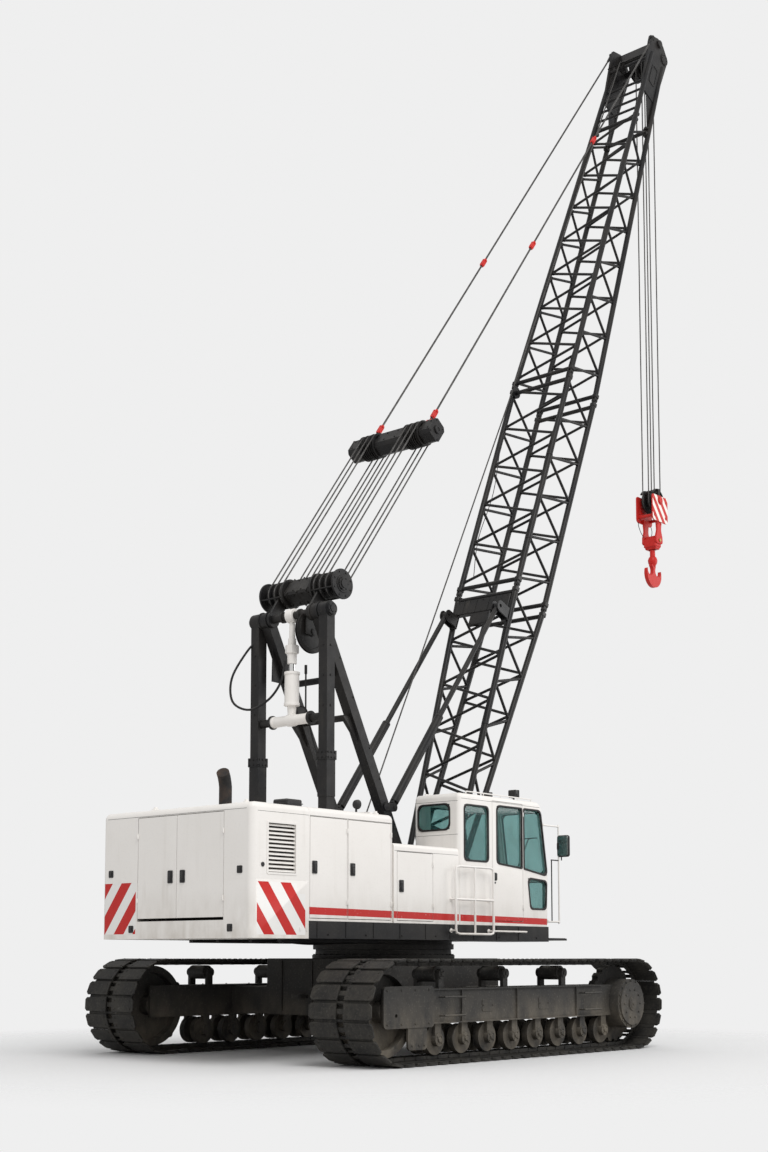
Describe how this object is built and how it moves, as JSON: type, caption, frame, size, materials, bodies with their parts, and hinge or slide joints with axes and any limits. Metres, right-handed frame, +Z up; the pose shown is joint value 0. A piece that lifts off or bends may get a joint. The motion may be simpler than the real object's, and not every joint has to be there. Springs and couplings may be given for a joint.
{
  "type": "crawler crane with lattice boom",
  "caption": "Crawler crane with a rotating house and cab, raised lattice boom, gantry, boom hoist ropes, pendants and a plumb hook block.",
  "frame": {"origin": "on the ground, midway along, across and under the whole parked machine", "axes": "+Z up, +X towards the boom and the front of the tracks, +Y to the machine's left"},
  "size_m": [11.6432, 5.12, 18.0703],
  "materials": {
    "white_paint": "semi-gloss off-white enamel, lightly dusty",
    "dark_paint": "satin black-grey enamel with worn edges",
    "track_steel": "bare dusty steel",
    "rope_steel": "greased wire rope",
    "red_paint": "semi-gloss red enamel",
    "tinted_glass": "blue-green tinted",
    "black_plastic": "matte",
    "engine_iron": "painted casting",
    "pin_steel": "greased"
  },
  "bodies": {
    "undercarriage": {"track_left": "track_steel", "track_right": "track_steel", "track_frame_left": "dark_paint", "track_frame_right": "dark_paint", "track_wheels_left": "track_steel", "track_wheels_right": "track_steel", "carbody": "dark_paint", "tow_lugs": "dark_paint", "slew_ring": "dark_paint"},
    "upperworks": {"deck": "dark_paint", "counterweight": "white_paint", "rear_house": "white_paint", "high_house": "white_paint", "low_house_right": "white_paint", "low_house_left": "white_paint", "engine": "engine_iron", "drum_stands": "dark_paint", "cab_shell": "white_paint", "cab_glass": "tinted_glass", "cab_interior": "black_plastic", "gantry_posts": "dark_paint", "gantry_legs": "dark_paint", "gantry_shaft": "dark_paint", "gantry_cylinder": "white_paint", "gantry_bail": "dark_paint", "roof_fittings": "dark_paint", "lamps": "dark_paint", "exhaust": "engine_iron", "handrails": "white_paint", "mirror": "dark_paint", "boom_foot_pins": "pin_steel"},
    "boom": {"boom_base": "dark_paint", "boom_middle": "dark_paint", "boom_tip": "dark_paint", "boom_head_sheaves": "dark_paint", "boom_rope": "rope_steel"},
    "backstop_tube": {"backstop_tubes": "dark_paint"},
    "backstop_rod": {"backstop_rods": "dark_paint"},
    "gantry_ropes": {"gantry_falls": "rope_steel"},
    "pendant_set": {"spreader": "dark_paint", "spreader_falls": "rope_steel", "pendants": "rope_steel", "pendant_links": "red_paint"},
    "hoist_rope": {"hoist_line": "rope_steel"},
    "hook_ropes": {"hook_falls_upper": "rope_steel"},
    "hook_block_set": {"hook_falls_lower": "rope_steel", "hook_block": "red_paint"},
    "hook_set": {"hook": "red_paint"},
    "hoist_drum_set": {"hoist_drum": "dark_paint"},
    "boom_hoist_drum_set": {"boom_hoist_drum": "dark_paint"},
    "side_door_left_rear_leaf": {"side_door_left_rear": "white_paint"},
    "side_door_left_front_leaf": {"side_door_left_front": "white_paint"},
    "low_door_left_leaf": {"low_door_left": "white_paint"},
    "side_door_right_rear_leaf": {"side_door_right_rear": "white_paint"},
    "side_door_right_front_leaf": {"side_door_right_front": "white_paint"},
    "low_door_right_leaf": {"low_door_right": "white_paint"},
    "rear_door_left_leaf": {"rear_door_left": "white_paint"},
    "rear_door_right_leaf": {"rear_door_right": "white_paint"},
    "cab_door_leaf": {"cab_door": "white_paint", "cab_door_glass": "tinted_glass"}
  },
  "joints": [
    {"name": "slew", "type": "hinge", "parent": "undercarriage", "child": "upperworks", "pos_m": [-1.902, 0, 1.723], "axis": [0, 0, 1], "continuous": true},
    {"name": "luff", "type": "hinge", "parent": "upperworks", "child": "boom", "pos_m": [-0.992, 0, 2.05], "axis": [0, -1, 0], "range_deg": [-30, 12], "deforming": ["gantry_falls", "spreader_falls", "hoist_line"]},
    {"name": "backstop_swing", "type": "hinge", "parent": "upperworks", "child": "backstop_tube", "pos_m": [-2.3139, 0, 3.33], "axis": [0, -1, 0], "range_deg": [-30.4, 12.76]},
    {"name": "backstop_slide", "type": "slide", "parent": "backstop_tube", "child": "backstop_rod", "axis": [0.608, 0, 0.794], "range_m": [-0.3892, 0.958]},
    {"name": "gantry_falls_swing", "type": "hinge", "parent": "upperworks", "child": "gantry_ropes", "pos_m": [-3.522, 0, 6.21], "axis": [0, -1, 0], "range_deg": [-32.8, 13.72]},
    {"name": "pendant_swing", "type": "hinge", "parent": "boom", "child": "pendant_set", "pos_m": [5.11314, 0, 17.96159], "axis": [0, -1, 0], "range_deg": [-2.8, 1.72]},
    {"name": "hoist_line_swing", "type": "hinge", "parent": "boom", "child": "hoist_rope", "pos_m": [2.0703, 0, 10.67056], "axis": [0, -1, 0], "range_deg": [-1.84, 3.1]},
    {"name": "hook_plumb", "type": "hinge", "parent": "boom", "child": "hook_ropes", "pos_m": [5.54321, 0, 17.7447], "axis": [0, -1, 0], "range_deg": [-13, 31]},
    {"name": "hook_hoist", "type": "slide", "parent": "hook_ropes", "child": "hook_block_set", "axis": [0, 0, -1], "range_m": [0, 7.8]},
    {"name": "hook_swivel", "type": "hinge", "parent": "hook_block_set", "child": "hook_set", "pos_m": [5.54321, 0, 8.595], "axis": [0, 0, 1], "continuous": true},
    {"name": "hoist_drum_turn", "type": "hinge", "parent": "upperworks", "child": "hoist_drum_set", "pos_m": [-2.272, 0, 2.15], "axis": [0, -1, 0], "continuous": true},
    {"name": "boom_hoist_drum_turn", "type": "hinge", "parent": "upperworks", "child": "boom_hoist_drum_set", "pos_m": [-2.862, 0, 2.15], "axis": [0, -1, 0], "continuous": true},
    {"name": "side_door_left_rear_open", "type": "hinge", "parent": "upperworks", "child": "side_door_left_rear_leaf", "pos_m": [-4.161, 1.36, 2.3], "axis": [0, 0, -1], "range_deg": [0, 90]},
    {"name": "side_door_left_front_open", "type": "hinge", "parent": "upperworks", "child": "side_door_left_front_leaf", "pos_m": [-3.322, 1.36, 2.3], "axis": [0, 0, -1], "range_deg": [0, 90]},
    {"name": "low_door_left_open", "type": "hinge", "parent": "upperworks", "child": "low_door_left_leaf", "pos_m": [-2.466, 1.36, 2.3], "axis": [0, 0, -1], "range_deg": [0, 90]},
    {"name": "side_door_right_rear_open", "type": "hinge", "parent": "upperworks", "child": "side_door_right_rear_leaf", "pos_m": [-4.161, -1.36, 2.3], "axis": [0, 0, 1], "range_deg": [0, 90]},
    {"name": "side_door_right_front_open", "type": "hinge", "parent": "upperworks", "child": "side_door_right_front_leaf", "pos_m": [-3.322, -1.36, 2.3], "axis": [0, 0, 1], "range_deg": [0, 90]},
    {"name": "low_door_right_open", "type": "hinge", "parent": "upperworks", "child": "low_door_right_leaf", "pos_m": [-2.466, -1.36, 2.3], "axis": [0, 0, 1], "range_deg": [0, 90]},
    {"name": "rear_door_left_open", "type": "hinge", "parent": "upperworks", "child": "rear_door_left_leaf", "pos_m": [-5.83, 0.666, 2.3], "axis": [0, 0, -1], "range_deg": [0, 90]},
    {"name": "rear_door_right_open", "type": "hinge", "parent": "upperworks", "child": "rear_door_right_leaf", "pos_m": [-5.83, -0.876, 2.3], "axis": [0, 0, 1], "range_deg": [0, 90]},
    {"name": "cab_door_open", "type": "hinge", "parent": "upperworks", "child": "cab_door_leaf", "pos_m": [-0.426, -1.36, 2.3], "axis": [0, 0, 1], "range_deg": [0, 85]}
  ],
  "couplings": [
    {"joint": "backstop_swing", "follows": "luff", "ratio": 0.98},
    {"joint": "backstop_slide", "follows": "luff", "m_per_rad": -1.8106},
    {"joint": "gantry_falls_swing", "follows": "luff", "ratio": 1.06},
    {"joint": "pendant_swing", "follows": "luff", "ratio": 0.06},
    {"joint": "hoist_line_swing", "follows": "luff", "ratio": -0.07},
    {"joint": "hook_plumb", "follows": "luff", "ratio": -1}
  ]
}
